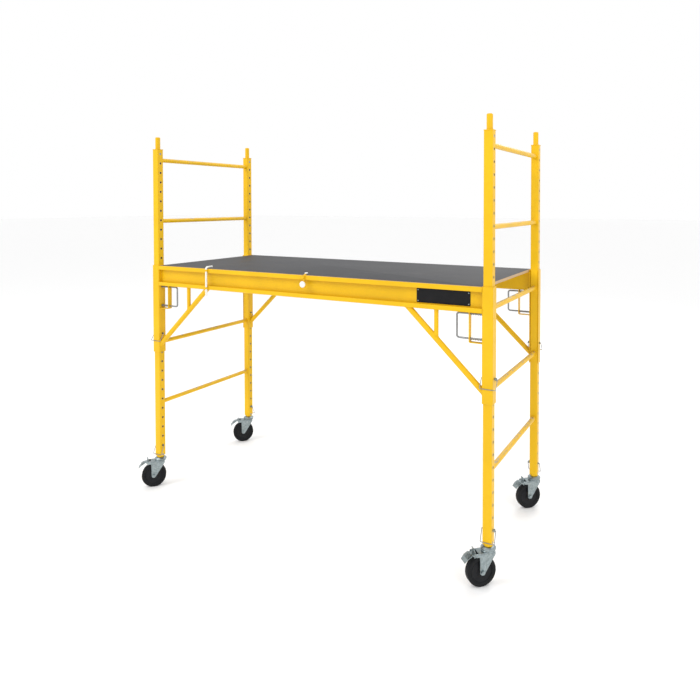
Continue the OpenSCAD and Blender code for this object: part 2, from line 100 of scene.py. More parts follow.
class NodeSheet:
    """A node tree with short calls for adding nodes and joining their sockets."""

    def __init__(self, tree: bpy.types.NodeTree) -> None:
        """Works on the given tree.

        Args:
            tree: the material's or the group's node tree.
        """
        self.tree = tree

    def plug(self, socket: Socket, value: object) -> None:
        """Links a socket, or sets its own value.

        Args:
            socket: the input to fill.
            value: an output socket, or a plain value.
        """
        if isinstance(value, bpy.types.NodeSocket):
            self.tree.links.new(value, socket)
        else:
            socket.default_value = value

    def add(self, kind: str, inputs: dict[str, object] | None = None, **settings: object) -> bpy.types.Node:
        """Adds a node.

        Args:
            kind: Blender's name for the node.
            inputs: input name to value or output socket.
            **settings: the node's own properties.

        Returns:
            The new node.
        """
        node = self.tree.nodes.new(kind)
        for key, value in settings.items():
            setattr(node, key, value)
        for key, value in (inputs or {}).items():
            self.plug(node.inputs[key], value)
        return node

    def math(self, operation: str, a: object, b: object = 0.0, clamp: bool = False) -> Socket:
        """One sum.

        Args:
            operation: Blender's name for it.
            a: first value or socket.
            b: second value or socket.
            clamp: keeps the result from 0 to 1.

        Returns:
            The result's socket.
        """
        node = self.add("ShaderNodeMath", operation=operation, use_clamp=clamp)
        self.plug(node.inputs[0], a)
        self.plug(node.inputs[1], b)
        return node.outputs[0]

    def step(self, value: object, low: object, high: object, top: object = 1.0) -> Socket:
        """A smooth step.

        Args:
            value: what is measured.
            low: where the step starts, giving 0.
            high: where it ends, giving top.
            top: the highest result.

        Returns:
            The result's socket.
        """
        node = self.add(
            "ShaderNodeMapRange",
            {"Value": value, "From Min": low, "From Max": high, "To Min": 0.0, "To Max": top},
            interpolation_type="SMOOTHSTEP",
        )
        return node.outputs[0]

    def mix(self, share: object, a: object, b: object) -> Socket:
        """Colour b laid over colour a by a share from 0 to 1."""
        node = self.add("ShaderNodeMix", data_type="RGBA")
        self.plug(node.inputs[0], share)
        self.plug(node.inputs[6], a)
        self.plug(node.inputs[7], b)
        return node.outputs[2]

    def noise(self, vector: object, scale: object, detail: float = 3.0, rough: float = 0.5) -> Socket:
        """Cloudy noise.

        Args:
            vector: where it is read.
            scale: how fine it is, per metre.
            detail: how many octaves.
            rough: how strong the finer octaves are.

        Returns:
            The value's socket, about 0.5 in the middle.
        """
        node = self.add(
            "ShaderNodeTexNoise", {"Vector": vector, "Scale": scale, "Detail": detail, "Roughness": rough}
        )
        return node.outputs[0]

    def stretch(self, vector: object, by: Sequence[float]) -> Socket:
        """The vector with each axis scaled by its own number."""
        node = self.add("ShaderNodeVectorMath", operation="MULTIPLY")
        self.plug(node.inputs[0], vector)
        self.plug(node.inputs[1], tuple(by))
        return node.outputs[0]

    def split(self, vector: object) -> list[Socket]:
        """The vector's X, Y and Z sockets."""
        return list(self.add("ShaderNodeSeparateXYZ", {"Vector": vector}).outputs)


class Effect:
    """A surface effect that several materials use: one node group with named sockets."""

    title: ClassVar[str]
    takes: ClassVar[dict[str, tuple[str, object]]]
    gives: ClassVar[dict[str, str]]

    @classmethod
    def draw(cls, sheet: NodeSheet, given: dict[str, Socket]) -> dict[str, Socket]:
        """Draws the group's nodes.

        Args:
            sheet: the group's tree.
            given: input name to its socket inside the group.

        Returns:
            Output name to the socket that feeds it.
        """
        raise NotImplementedError

    @classmethod
    def place(cls, sheet: NodeSheet, inputs: dict[str, object]) -> dict[str, Socket]:
        """Puts the group in a tree, building it the first time.

        Args:
            sheet: the tree that uses it.
            inputs: input name to value or socket.

        Returns:
            Output name to socket.
        """
        group = bpy.data.node_groups.get(cls.title) or cls.build()
        node = sheet.add("ShaderNodeGroup", node_tree=group)
        for key, value in inputs.items():
            sheet.plug(node.inputs[key], value)
        return {name: node.outputs[name] for name in cls.gives}

    @classmethod
    def build(cls) -> bpy.types.NodeTree:
        """Makes the node group.

        Returns:
            The group's tree.
        """
        group = bpy.data.node_groups.new(cls.title, "ShaderNodeTree")
        for name, (kind, value) in cls.takes.items():
            socket = group.interface.new_socket(name, in_out="INPUT", socket_type=kind)
            if value is not None:
                socket.default_value = value
        for name, kind in cls.gives.items():
            group.interface.new_socket(name, in_out="OUTPUT", socket_type=kind)
        sheet = NodeSheet(group)
        source = sheet.add("NodeGroupInput")
        given = {name: source.outputs[name] for name in cls.takes}
        sheet.add("NodeGroupOutput", dict(cls.draw(sheet, given)))
        return group


FLOAT, VECTOR = "NodeSocketFloat", "NodeSocketVector"


class Scuffs(Effect):
    """Short rubbed marks, longest along the given stretch."""

    title = "scuffs"
    takes = {"Vector": (VECTOR, None), "Scale": (FLOAT, 30.0), "Amount": (FLOAT, 0.3)}
    gives = {"Mask": FLOAT}

    @classmethod
    def draw(cls, sheet: NodeSheet, given: dict[str, Socket]) -> dict[str, Socket]:
        """Draws the group's nodes: thin streaks kept only where patchy wear falls."""
        fine = sheet.noise(sheet.stretch(given["Vector"], (1, 1, 0.16)), given["Scale"], 5, 0.65)
        patch_scale = sheet.math("MULTIPLY", given["Scale"], 0.12)
        patches = sheet.noise(given["Vector"], patch_scale, 3, 0.6)
        limit = sheet.math("SUBTRACT", 0.78, sheet.math("MULTIPLY", given["Amount"], 0.3))
        both = sheet.math("ADD", sheet.math("MULTIPLY", fine, 0.6), sheet.math("MULTIPLY", patches, 0.45))
        return {"Mask": sheet.step(both, limit, sheet.math("ADD", limit, 0.05))}


class SettledDust(Effect):
    """Dust that lies on surfaces that face up."""

    title = "settled dust"
    takes = {"Vector": (VECTOR, None), "Amount": (FLOAT, 0.3)}
    gives = {"Mask": FLOAT}

    @classmethod
    def draw(cls, sheet: NodeSheet, given: dict[str, Socket]) -> dict[str, Socket]:
        """Draws the group's nodes: the normal's upward share, broken up by noise."""
        normal = sheet.add("ShaderNodeNewGeometry").outputs["Normal"]
        up = sheet.step(sheet.split(normal)[2], 0.35, 0.95)
        cloud = sheet.step(sheet.noise(given["Vector"], 14.0, 5, 0.6), 0.36, 0.7)
        return {"Mask": sheet.math("MULTIPLY", sheet.math("MULTIPLY", up, cloud), given["Amount"])}


class OrangePeel(Effect):
    """The fine dimpled skin of baked powder coat."""

    title = "orange peel"
    takes = {"Vector": (VECTOR, None), "Scale": (FLOAT, 420.0)}
    gives = {"Height": FLOAT}

    @classmethod
    def draw(cls, sheet: NodeSheet, given: dict[str, Socket]) -> dict[str, Socket]:
        """Draws the group's nodes: two sizes of soft dimple."""
        wide = sheet.noise(given["Vector"], given["Scale"], 1.5, 0.4)
        fine = sheet.noise(given["Vector"], sheet.math("MULTIPLY", given["Scale"], 3.1), 1, 0.4)
        return {"Height": sheet.math("ADD", wide, sheet.math("MULTIPLY", fine, 0.3))}


class HoleRimWear(Effect):
    """Paint knocked off round a row of holes up a post, where pins are pushed in."""

    title = "hole rim wear"
    takes = {
        "Vector": (VECTOR, None),
        "Lowest": (FLOAT, 0.222),
        "Pitch": (FLOAT, 0.0508),
        "Row": (FLOAT, 0.362),
        "Rim": (FLOAT, 0.005),
    }
    gives = {"Mask": FLOAT}

    @classmethod
    def draw(cls, sheet: NodeSheet, given: dict[str, Socket]) -> dict[str, Socket]:
        """Draws the group's nodes: distance to the nearest hole, frayed by noise."""
        _, y, z = sheet.split(given["Vector"])
        across = sheet.math("SUBTRACT", sheet.math("ABSOLUTE", y), given["Row"])
        turns = sheet.math("DIVIDE", sheet.math("SUBTRACT", z, given["Lowest"]), given["Pitch"])
        offset = sheet.math("SUBTRACT", turns, sheet.math("ROUND", turns))
        along = sheet.math("MULTIPLY", offset, given["Pitch"])
        squares = sheet.math("ADD", sheet.math("POWER", across, 2.0), sheet.math("POWER", along, 2.0))
        away = sheet.math("SUBTRACT", sheet.math("SQRT", squares), given["Rim"])
        fray = sheet.math("MULTIPLY", sheet.noise(given["Vector"], 260.0, 4, 0.7), 0.0042)
        edge = sheet.math("SUBTRACT", fray, 0.0006)
        near = sheet.math("SUBTRACT", 1.0, sheet.step(away, sheet.math("SUBTRACT", edge, 0.0005), edge))
        return {"Mask": near}


class Spangle(Effect):
    """The mottled tone of zinc plate."""

    title = "zinc spangle"
    takes = {"Vector": (VECTOR, None), "Scale": (FLOAT, 160.0)}
    gives = {"Tone": FLOAT, "Height": FLOAT}

    @classmethod
    def draw(cls, sheet: NodeSheet, given: dict[str, Socket]) -> dict[str, Socket]:
        """Draws the group's nodes: small crystal cells under soft clouds."""
        cells = sheet.add(
            "ShaderNodeTexVoronoi", {"Vector": given["Vector"], "Scale": given["Scale"]}, feature="F1"
        )
        shade = sheet.split(cells.outputs["Color"])[0]
        cloud = sheet.noise(given["Vector"], sheet.math("MULTIPLY", given["Scale"], 0.2), 4, 0.6)
        tone = sheet.math("ADD", sheet.math("MULTIPLY", shade, 0.35), sheet.math("MULTIPLY", cloud, 0.65))
        fine = sheet.noise(given["Vector"], sheet.math("MULTIPLY", given["Scale"], 9.0), 3, 0.6)
        return {"Tone": tone, "Height": fine}


class WoodFibre(Effect):
    """Long wood fibre along one axis, as a tone and a height."""

    title = "wood fibre"
    takes = {"Vector": (VECTOR, None), "Scale": (FLOAT, 24.0)}
    gives = {"Tone": FLOAT, "Height": FLOAT}

    @classmethod
    def draw(cls, sheet: NodeSheet, given: dict[str, Socket]) -> dict[str, Socket]:
        """Draws the group's nodes: rings bent by slow noise, and fine pores."""
        bend = sheet.noise(given["Vector"], 3.0, 2, 0.5)
        wave = sheet.add(
            "ShaderNodeTexWave",
            {
                "Vector": given["Vector"],
                "Scale": given["Scale"],
                "Distortion": 7.0,
                "Detail": 3.0,
                "Detail Scale": 1.2,
            },
            bands_direction="DIAGONAL",
        )
        pores = sheet.noise(given["Vector"], sheet.math("MULTIPLY", given["Scale"], 26.0), 3, 0.7)
        rings = sheet.math("MULTIPLY", wave.outputs["Fac"], 0.55)
        tone = sheet.math("ADD", rings, sheet.math("MULTIPLY", pores, 0.3))
        tone = sheet.math("ADD", tone, sheet.math("MULTIPLY", bend, 0.15))
        return {"Tone": tone, "Height": pores}


# ---------------------------------------------------------------- finishes


@dataclass(frozen=True)
class Finish:
    """A finish: its name, its main colour and how rough it is."""

    title: str
    colour: Colour
    roughness: float
    metallic: float = 0.0

    def material(self) -> bpy.types.Material:
        """The finish as a material, built the first time it is asked for.

        Returns:
            The material.
        """
        found = bpy.data.materials.get(self.title)
        if found is not None:
            return found
        made = bpy.data.materials.new(self.title)
        made.use_nodes = True
        made.diffuse_color = self.colour
        sheet = NodeSheet(made.node_tree)
        shader = made.node_tree.nodes["Principled BSDF"]
        shader.inputs["Metallic"].default_value = self.metallic
        place = sheet.add("ShaderNodeTexCoord").outputs["Object"]
        self.paint(sheet, place, shader)
        return made

    def paint(self, sheet: NodeSheet, place: Socket, shader: bpy.types.Node) -> None:
        """Joins the finish's nodes to the shader.

        Args:
            sheet: the material's tree.
            place: the point on the surface, in metres.
            shader: the Principled BSDF.
        """
        raise NotImplementedError

    def bump(
        self, sheet: NodeSheet, shader: bpy.types.Node, height: Socket, strength: float, depth: float
    ) -> None:
        """Feeds a height to the shader's normal.

        Args:
            sheet: the material's tree.
            shader: the Principled BSDF.
            height: what stands out.
            strength: how much of it shows.
            depth: its depth in metres.
        """
        node = sheet.add("ShaderNodeBump", {"Height": height, "Strength": strength, "Distance": depth})
        sheet.plug(shader.inputs["Normal"], node.outputs["Normal"])


def shaded(colour: Colour, by: float) -> Colour:
    """The colour made lighter or darker."""
    return (colour[0] * by, colour[1] * by, colour[2] * by, 1.0)


class Wear(Enum):
    """Where a powder-coated piece loses its paint."""

    PLAIN = "plain"
    HOLES = "holes"
    TREAD = "tread"


@dataclass(frozen=True)
class PowderCoat(Finish):
    """Baked powder coat, with scuffs down to grey steel and a little dust."""

    wear: Wear = Wear.PLAIN
    steel: Colour = (0.30, 0.29, 0.28, 1.0)
    dust: Colour = (0.62, 0.56, 0.45, 1.0)
    scuffing: float = 0.3
    dustiness: float = 0.17

    def paint(self, sheet: NodeSheet, place: Socket, shader: bpy.types.Node) -> None:
        """Joins the coat's tone, wear, dust and dimples to the shader."""
        tone = sheet.step(sheet.noise(place, 5.0, 4, 0.6), 0.3, 0.7)
        coat = sheet.mix(tone, shaded(self.colour, 0.93), shaded(self.colour, 1.05))
        mottle = sheet.step(sheet.noise(place, 90.0, 3, 0.6), 0.35, 0.75, 0.35)
        coat = sheet.mix(mottle, coat, shaded(self.colour, 0.9))
        dust = SettledDust.place(sheet, {"Vector": place, "Amount": self.dustiness})["Mask"]
        coat = sheet.mix(dust, coat, self.dust)
        bare = Scuffs.place(sheet, {"Vector": place, "Scale": 95.0, "Amount": self.scuffing})["Mask"]
        if self.wear is Wear.HOLES:
            rims = HoleRimWear.place(sheet, {"Vector": place})["Mask"]
            bare = sheet.math("MAXIMUM", bare, rims)
        if self.wear is Wear.TREAD:
            normal = sheet.add("ShaderNodeNewGeometry").outputs["Normal"]
            up = sheet.step(sheet.split(normal)[2], 0.3, 0.95)
            rub = sheet.step(sheet.noise(sheet.stretch(place, (1, 0.4, 1)), 70.0, 5, 0.7), 0.5, 0.62, 0.8)
            bare = sheet.math("MAXIMUM", bare, sheet.math("MULTIPLY", up, rub))
        sheet.plug(shader.inputs["Base Color"], sheet.mix(bare, coat, self.steel))
        sheet.plug(shader.inputs["Metallic"], sheet.math("MULTIPLY", bare, 0.75))
        rough = sheet.math("ADD", self.roughness, sheet.math("MULTIPLY", mottle, 0.12))
        rough = sheet.math("ADD", rough, sheet.math("MULTIPLY", dust, 0.5))
        sheet.plug(shader.inputs["Roughness"], rough)
        shader.inputs["Specular IOR Level"].default_value = 0.26
        peel = OrangePeel.place(sheet, {"Vector": place})["Height"]
        height = sheet.math("SUBTRACT", sheet.math("MULTIPLY", peel, 0.5), sheet.math("MULTIPLY", bare, 0.6))
        self.bump(sheet, shader, height, 0.35, 0.0003)


@dataclass(frozen=True)
class ZincPlate(Finish):
    """Bright zinc plate on steel, mottled and slightly blue."""

    depth: float = 0.62
    grime: Colour = (0.10, 0.095, 0.09, 1.0)
    cell_scale: float = 160.0

    def paint(self, sheet: NodeSheet, place: Socket, shader: bpy.types.Node) -> None:
        """Joins the plate's mottle, grime and fine grain to the shader."""
        spangle = Spangle.place(sheet, {"Vector": place, "Scale": self.cell_scale})
        bright = sheet.step(spangle["Tone"], 0.2, 0.85)
        plate = sheet.mix(bright, shaded(self.colour, self.depth), self.colour)
        grime = sheet.step(sheet.noise(place, 60.0, 5, 0.7), 0.6, 0.8, 0.55)
        sheet.plug(shader.inputs["Base Color"], sheet.mix(grime, plate, self.grime))
        rough = sheet.math("ADD", self.roughness, sheet.math("MULTIPLY", spangle["Tone"], 0.16))
        sheet.plug(shader.inputs["Roughness"], sheet.math("ADD", rough, sheet.math("MULTIPLY", grime, 0.4)))
        self.bump(sheet, shader, spangle["Height"], 0.25, 0.0001)


@dataclass(frozen=True)
class FilmFace(Finish):
    """Phenolic film on plywood: dark, with a pressed wire-mesh pattern and pale boot scuffs."""

    pale: Colour = (0.15, 0.15, 0.155, 1.0)
    mesh_scale: float = 70.0

    def paint(self, sheet: NodeSheet, place: Socket, shader: bpy.types.Node) -> None:
        """Joins the film's tone, mesh pattern and scuffs to the shader."""
        tone = sheet.step(sheet.noise(place, 3.5, 4, 0.6), 0.3, 0.7)
        film = sheet.mix(tone, shaded(self.colour, 0.8), shaded(self.colour, 1.25))
        drag = sheet.stretch(place, (0.35, 1, 1))
        marks = Scuffs.place(sheet, {"Vector": drag, "Scale": 40.0, "Amount": 0.55})["Mask"]
        dust = SettledDust.place(sheet, {"Vector": place, "Amount": 0.15})["Mask"]
        worn = sheet.math("MAXIMUM", sheet.math("MULTIPLY", marks, 0.4), dust)
        sheet.plug(shader.inputs["Base Color"], sheet.mix(worn, film, self.pale))
        shader.inputs["Specular IOR Level"].default_value = 0.36
        rough = sheet.math("ADD", self.roughness, sheet.math("MULTIPLY", worn, 0.35))
        sheet.plug(shader.inputs["Roughness"], sheet.math("ADD", rough, sheet.math("MULTIPLY", tone, 0.08)))
        lines = [
            sheet.add("ShaderNodeTexWave", {"Vector": place, "Scale": self.mesh_scale}, bands_direction=way)
            for way in ("X", "Y")
        ]
        weave = sheet.math("MAXIMUM", lines[0].outputs["Fac"], lines[1].outputs["Fac"])
        height = sheet.math("SUBTRACT", weave, sheet.math("MULTIPLY", marks, 0.5))
        self.bump(sheet, shader, height, 0.3, 0.0002)


@dataclass(frozen=True)
class PlyEdge(Finish):
    """The cut edge of plywood: pale and dark veneers in turn."""

    dark: Colour = (0.36, 0.22, 0.11, 1.0)
    ply: float = 0.00141
    bottom: float = 1.1873

    def paint(self, sheet: NodeSheet, place: Socket, shader: bpy.types.Node) -> None:
        """Joins the veneers and their fibre to the shader."""
        height = sheet.math("SUBTRACT", sheet.split(place)[2], self.bottom)
        layer = sheet.math("PINGPONG", sheet.math("DIVIDE", height, self.ply), 1.0)
        bands = sheet.step(layer, 0.35, 0.65)
        fibre = WoodFibre.place(sheet, {"Vector": sheet.stretch(place, (1, 1, 14)), "Scale": 30.0})
        wood = sheet.mix(sheet.math("MULTIPLY", bands, 0.75), self.colour, self.dark)
        dark = sheet.math("MULTIPLY", fibre["Tone"], 0.35)
        sheet.plug(shader.inputs["Base Color"], sheet.mix(dark, wood, shaded(self.dark, 0.7)))
        rough = sheet.math("ADD", self.roughness, sheet.math("MULTIPLY", bands, 0.1))
        sheet.plug(shader.inputs["Roughness"], rough)
        self.bump(sheet, shader, sheet.math("ADD", fibre["Height"], bands), 0.5, 0.0003)


@dataclass(frozen=True)
class Timber(Finish):
    """Planed softwood with its fibre along Y."""

    dark: Colour = (0.38, 0.23, 0.11, 1.0)

    def paint(self, sheet: NodeSheet, place: Socket, shader: bpy.types.Node) -> None:
        """Joins the fibre's tone and height to the shader."""
        fibre = WoodFibre.place(sheet, {"Vector": sheet.stretch(place, (1, 0.08, 1)), "Scale": 34.0})
        sheet.plug(shader.inputs["Base Color"], sheet.mix(fibre["Tone"], self.colour, self.dark))
        rough = sheet.math("ADD", self.roughness, sheet.math("MULTIPLY", fibre["Tone"], 0.15))
        sheet.plug(shader.inputs["Roughness"], rough)
        self.bump(sheet, shader, fibre["Height"], 0.5, 0.0004)


@dataclass(frozen=True)
class Moulded(Finish):
    """Moulded rubber or plastic: fine grain, rubbed grey where it runs on the floor."""

    rubbed: Colour = (0.16, 0.155, 0.15, 1.0)
    grain: float = 700.0
    marks: float = 0.35

    def paint(self, sheet: NodeSheet, place: Socket, shader: bpy.types.Node) -> None:
        """Joins the moulding's tone, marks and grain to the shader."""
        tone = sheet.step(sheet.noise(place, 40.0, 4, 0.6), 0.3, 0.75)
        skin = sheet.mix(tone, self.colour, shaded(self.colour, 1.5))
        marks = Scuffs.place(sheet, {"Vector": place, "Scale": 120.0, "Amount": self.marks})["Mask"]
        dust = SettledDust.place(sheet, {"Vector": place, "Amount": 0.16})["Mask"]
        worn = sheet.math("MAXIMUM", sheet.math("MULTIPLY", marks, 0.6), dust)
        sheet.plug(shader.inputs["Base Color"], sheet.mix(worn, skin, self.rubbed))
        shader.inputs["Specular IOR Level"].default_value = 0.2
        rough = sheet.math("ADD", self.roughness, sheet.math("MULTIPLY", worn, 0.2))
        sheet.plug(shader.inputs["Roughness"], rough)
        self.bump(sheet, shader, sheet.noise(place, self.grain, 2, 0.5), 0.3, 0.0002)


AMBER: Colour = (0.765, 0.452, 0.004, 1.0)
YELLOW_COAT = PowderCoat("yellow powder coat", AMBER, 0.36)
YELLOW_POST = PowderCoat("yellow coat with hole wear", AMBER, 0.36, wear=Wear.HOLES)
YELLOW_RUNG = PowderCoat("yellow coat with tread wear", AMBER, 0.36, wear=Wear.TREAD)
WHITE_COAT = PowderCoat("white powder coat", (0.80, 0.80, 0.77, 1.0), 0.38, scuffing=0.4)
BRIGHT_ZINC = ZincPlate("bright zinc plate", (0.36, 0.42, 0.435, 1.0), 0.26, 1.0)
ROD_ZINC = ZincPlate("zinc drawn rod", (0.36, 0.37, 0.38, 1.0), 0.28, 1.0, cell_scale=320.0)
SPRING_STEEL = ZincPlate("spring wire", (0.44, 0.45, 0.46, 1.0), 0.22, 1.0, cell_scale=500.0)
DECK_FILM = FilmFace("film face", (0.029, 0.030, 0.034, 1.0), 0.58)
DECK_EDGE = PlyEdge("plywood edge", (0.70, 0.50, 0.29, 1.0), 0.6)
SOFTWOOD = Timber("planed softwood", (0.66, 0.47, 0.27, 1.0), 0.6)
RUBBED_TYRE: Colour = (0.06, 0.06, 0.06, 1.0)
RUBBED_PLASTIC: Colour = (0.05, 0.05, 0.05, 1.0)
TYRE_RUBBER = Moulded("tyre rubber", (0.006, 0.0065, 0.0075, 1.0), 0.62, rubbed=RUBBED_TYRE, marks=0.2)
HUB_PLASTIC = Moulded(
    "hub plastic", (0.007, 0.0075, 0.009, 1.0), 0.5, rubbed=RUBBED_PLASTIC, grain=1100.0, marks=0.1
)
LABEL_BLACK = Moulded(
    "plain black plate", (0.005, 0.005, 0.006, 1.0), 0.4, rubbed=RUBBED_PLASTIC, grain=1600.0, marks=0.15
)

# ---------------------------------------------------------------- mesh making


def arc(centre: Flat, radius: float, start: float, end: float, steps: int = 6) -> list[Flat]:
    """Points of an arc.

    Args:
        centre: its middle.
        radius: its radius.
        start: first angle in degrees.
        end: last angle in degrees.
        steps: how many chords.

    Returns:
        The points from start to end.
    """
    turns = [math.radians(start + (end - start) * i / steps) for i in range(steps + 1)]
    return [(centre[0] + radius * math.cos(t), centre[1] + radius * math.sin(t)) for t in turns]


def rounded(path: Sequence[Flat], radius: float, steps: int = 5) -> list[Flat]:
    """The flat path with its inner corners rounded.

    Args:
        path: its corners.
        radius: the bends' radius.
        steps: chords in each bend.

    Returns:
        The smoother path.
    """
    made = [path[0]]
    for a, b, c in zip(path, path[1:], path[2:]):
        corner = Vector(b)
        back, ahead = (Vector(a) - corner).normalized(), (Vector(c) - corner).normalized()
        half = back.angle(ahead) / 2
        cut = radius / math.tan(half)
        middle = corner + (back + ahead).normalized() * (radius / math.sin(half))
        first, last = corner + back * cut - middle, corner + ahead * cut - middle
        for i in range(steps + 1):
            spoke = first.slerp(last, i / steps) if first.length > 0 else first
            made.append(tuple(middle + spoke))
    return made + [path[-1]]


class Blank:
    """Points and faces in millimetres that become one closed-shell object."""

    def __init__(self) -> None:
        """Starts with nothing in it."""
        self.points: list[Vector] = []
        self.faces: list[tuple[int, ...]] = []
        self.coats: list[int] = []

    def put(self, points: Iterable[Vector], faces: Iterable[tuple[int, ...]], coat: int = 0) -> None:
        """Adds a closed shell.

        Args:
            points: its corners.
            faces: its faces, counted from its own first corner.
            coat: which of the object's finishes it has.
        """
        base = len(self.points)
        self.points += [Vector(p) for p in points]
        for face in faces:
            self.faces.append(tuple(base + i for i in face))
            self.coats.append(coat)

    def rings(self, rings: Sequence[Sequence[Vector]], closed: bool = False, coat: int = 0) -> None:
        """Joins rings of points into a tube.

        Args:
            rings: rings with the same number of points.
            closed: joins the last ring to the first, and otherwise caps both ends.
            coat: which of the object's finishes it has.
        """
        count, sides = len(rings), len(rings[0])
        faces: list[tuple[int, ...]] = []
        for i in range(count if closed else count - 1):
            a, b = i * sides, (i + 1) % count * sides
            faces += [(a + k, a + (k + 1) % sides, b + (k + 1) % sides, b + k) for k in range(sides)]
        if not closed:
            faces.append(tuple(reversed(range(sides))))
            faces.append(tuple(range((count - 1) * sides, count * sides)))
        self.put([p for ring in rings for p in ring], faces, coat)

    def lathe(self, profile: Sequence[Flat], place: Matrix, steps: int = 64, coat: int = 0) -> None:
        """Turns a closed outline of [radius, height] about an axis.

        Args:
            profile: the outline, not touching the axis.
            place: takes the axis +Z to where it belongs.
            steps: chords round the axis.
            coat: which of the object's finishes it has.
        """
        ways = [(math.cos(TAU * i / steps), math.sin(TAU * i / steps)) for i in range(steps)]
        self.rings([[place @ Vector((r * c, r * s, h)) for r, h in profile] for c, s in ways], True, coat)

    def tube(
        self,
        path: Sequence[Vector],
        radius: float | Callable[[float], float],
        sides: int = 12,
        closed: bool = False,
        coat: int = 0,
    ) -> None:
        """Sweeps a circle along a path.

        Args:
            path: the points of its middle line.
            radius: its radius, or a function of the distance along the path.
            sides: chords round it.
            closed: the path returns to its start.
            coat: which of the object's finishes it has.
        """
        count = len(path)
        last = count - 1
        side = None
        run = 0.0
        rings = []
        for i, point in enumerate(path):
            before = path[i - 1] if closed or i else point
            after = path[(i + 1) % count] if closed or i < last else point
            ahead = (after - before).normalized()
            if side is None:
                side = ahead.orthogonal().normalized()
            side = (side - ahead * side.dot(ahead)).normalized()
            up = ahead.cross(side)
            run += (point - path[i - 1]).length if i else 0.0
            wide = radius(run) if callable(radius) else radius
            turns = [TAU * k / sides for k in range(sides)]
            rings.append([point + (side * math.cos(t) + up * math.sin(t)) * wide for t in turns])
        self.rings(rings, closed, coat)

    def plate(self, outline: Sequence[Flat], low: float, high: float, place: Matrix, coat: int = 0) -> None:
        """Extrudes a flat outline.

        Args:
            outline: its corners, going round once.
            low: where it starts along the place's Z.
            high: where it ends.
            place: takes the flat XY drawing to where it belongs.
            coat: which of the object's finishes it has.
        """
        self.rings([[place @ Vector((x, y, h)) for x, y in outline] for h in (low, high)], False, coat)

    def ribbon(
        self, path: Sequence[Flat], widths: Sequence[float], thick: float, place: Matrix, coat: int = 0
    ) -> None:
        """A bent strip of sheet that follows a path in the XZ plane and is wide along Y.

        Args:
            path: the middle line of the strip.
            widths: its width at each point.
            thick: the sheet's thickness.
            place: takes the drawing to where it belongs.
            coat: which of the object's finishes it has.
        """
        last = len(path) - 1
        rings = []
        for i, (point, wide) in enumerate(zip(path, widths)):
            ahead = (Vector(path[min(i + 1, last)]) - Vector(path[max(i - 1, 0)])).normalized()
            left = Vector((-ahead.y, ahead.x)) * thick / 2
            corners = [(left, -wide / 2), (left, wide / 2), (-left, wide / 2), (-left, -wide / 2)]
            rings.append([place @ Vector((point[0] + n.x, y, point[1] + n.y)) for n, y in corners])
        self.rings(rings, False, coat)

    def make(
        self, name: str, finishes: Sequence[Finish], bevel: float = 0.0, smooth: float = 38.0
    ) -> bpy.types.Object:
        """Makes the object.

        Args:
            name: its name.
            finishes: the finishes that the coats count into.
            bevel: radius in millimetres taken off its sharp edges.
            smooth: edges flatter than this many degrees are shaded smooth.

        Returns:
            The object, in metres, with its materials.
        """
        mesh = bpy.data.meshes.new(name)
        mesh.from_pydata([p * MM for p in self.points], [], self.faces)
        for polygon, coat in zip(mesh.polygons, self.coats):
            polygon.material_index = coat
        work = bmesh.new()
        work.from_mesh(mesh)
        bmesh.ops.recalc_face_normals(work, faces=work.faces)
        if bevel:
            least = math.radians(32)
            sharp = [e for e in work.edges if len(e.link_faces) == 2 and e.calc_face_angle() > least]
            bmesh.ops.bevel(
                work,
                geom=sharp,
                offset=bevel * MM,
                segments=2,
                profile=0.6,
                affect="EDGES",
                clamp_overlap=True,
            )
        work.to_mesh(mesh)
        work.free()
        mesh.shade_smooth()
        mesh.set_sharp_from_angle(angle=math.radians(smooth))
        for finish in finishes:
            mesh.materials.append(finish.material())
        made = bpy.data.objects.new(name, mesh)
        bpy.context.scene.collection.objects.link(made)
        return made


UPRIGHT = Matrix.Rotation(math.radians(90), 4, "X")
"""Takes a drawing in XY to the XZ plane, and +Z to -Y."""


# ---------------------------------------------------------------- casters


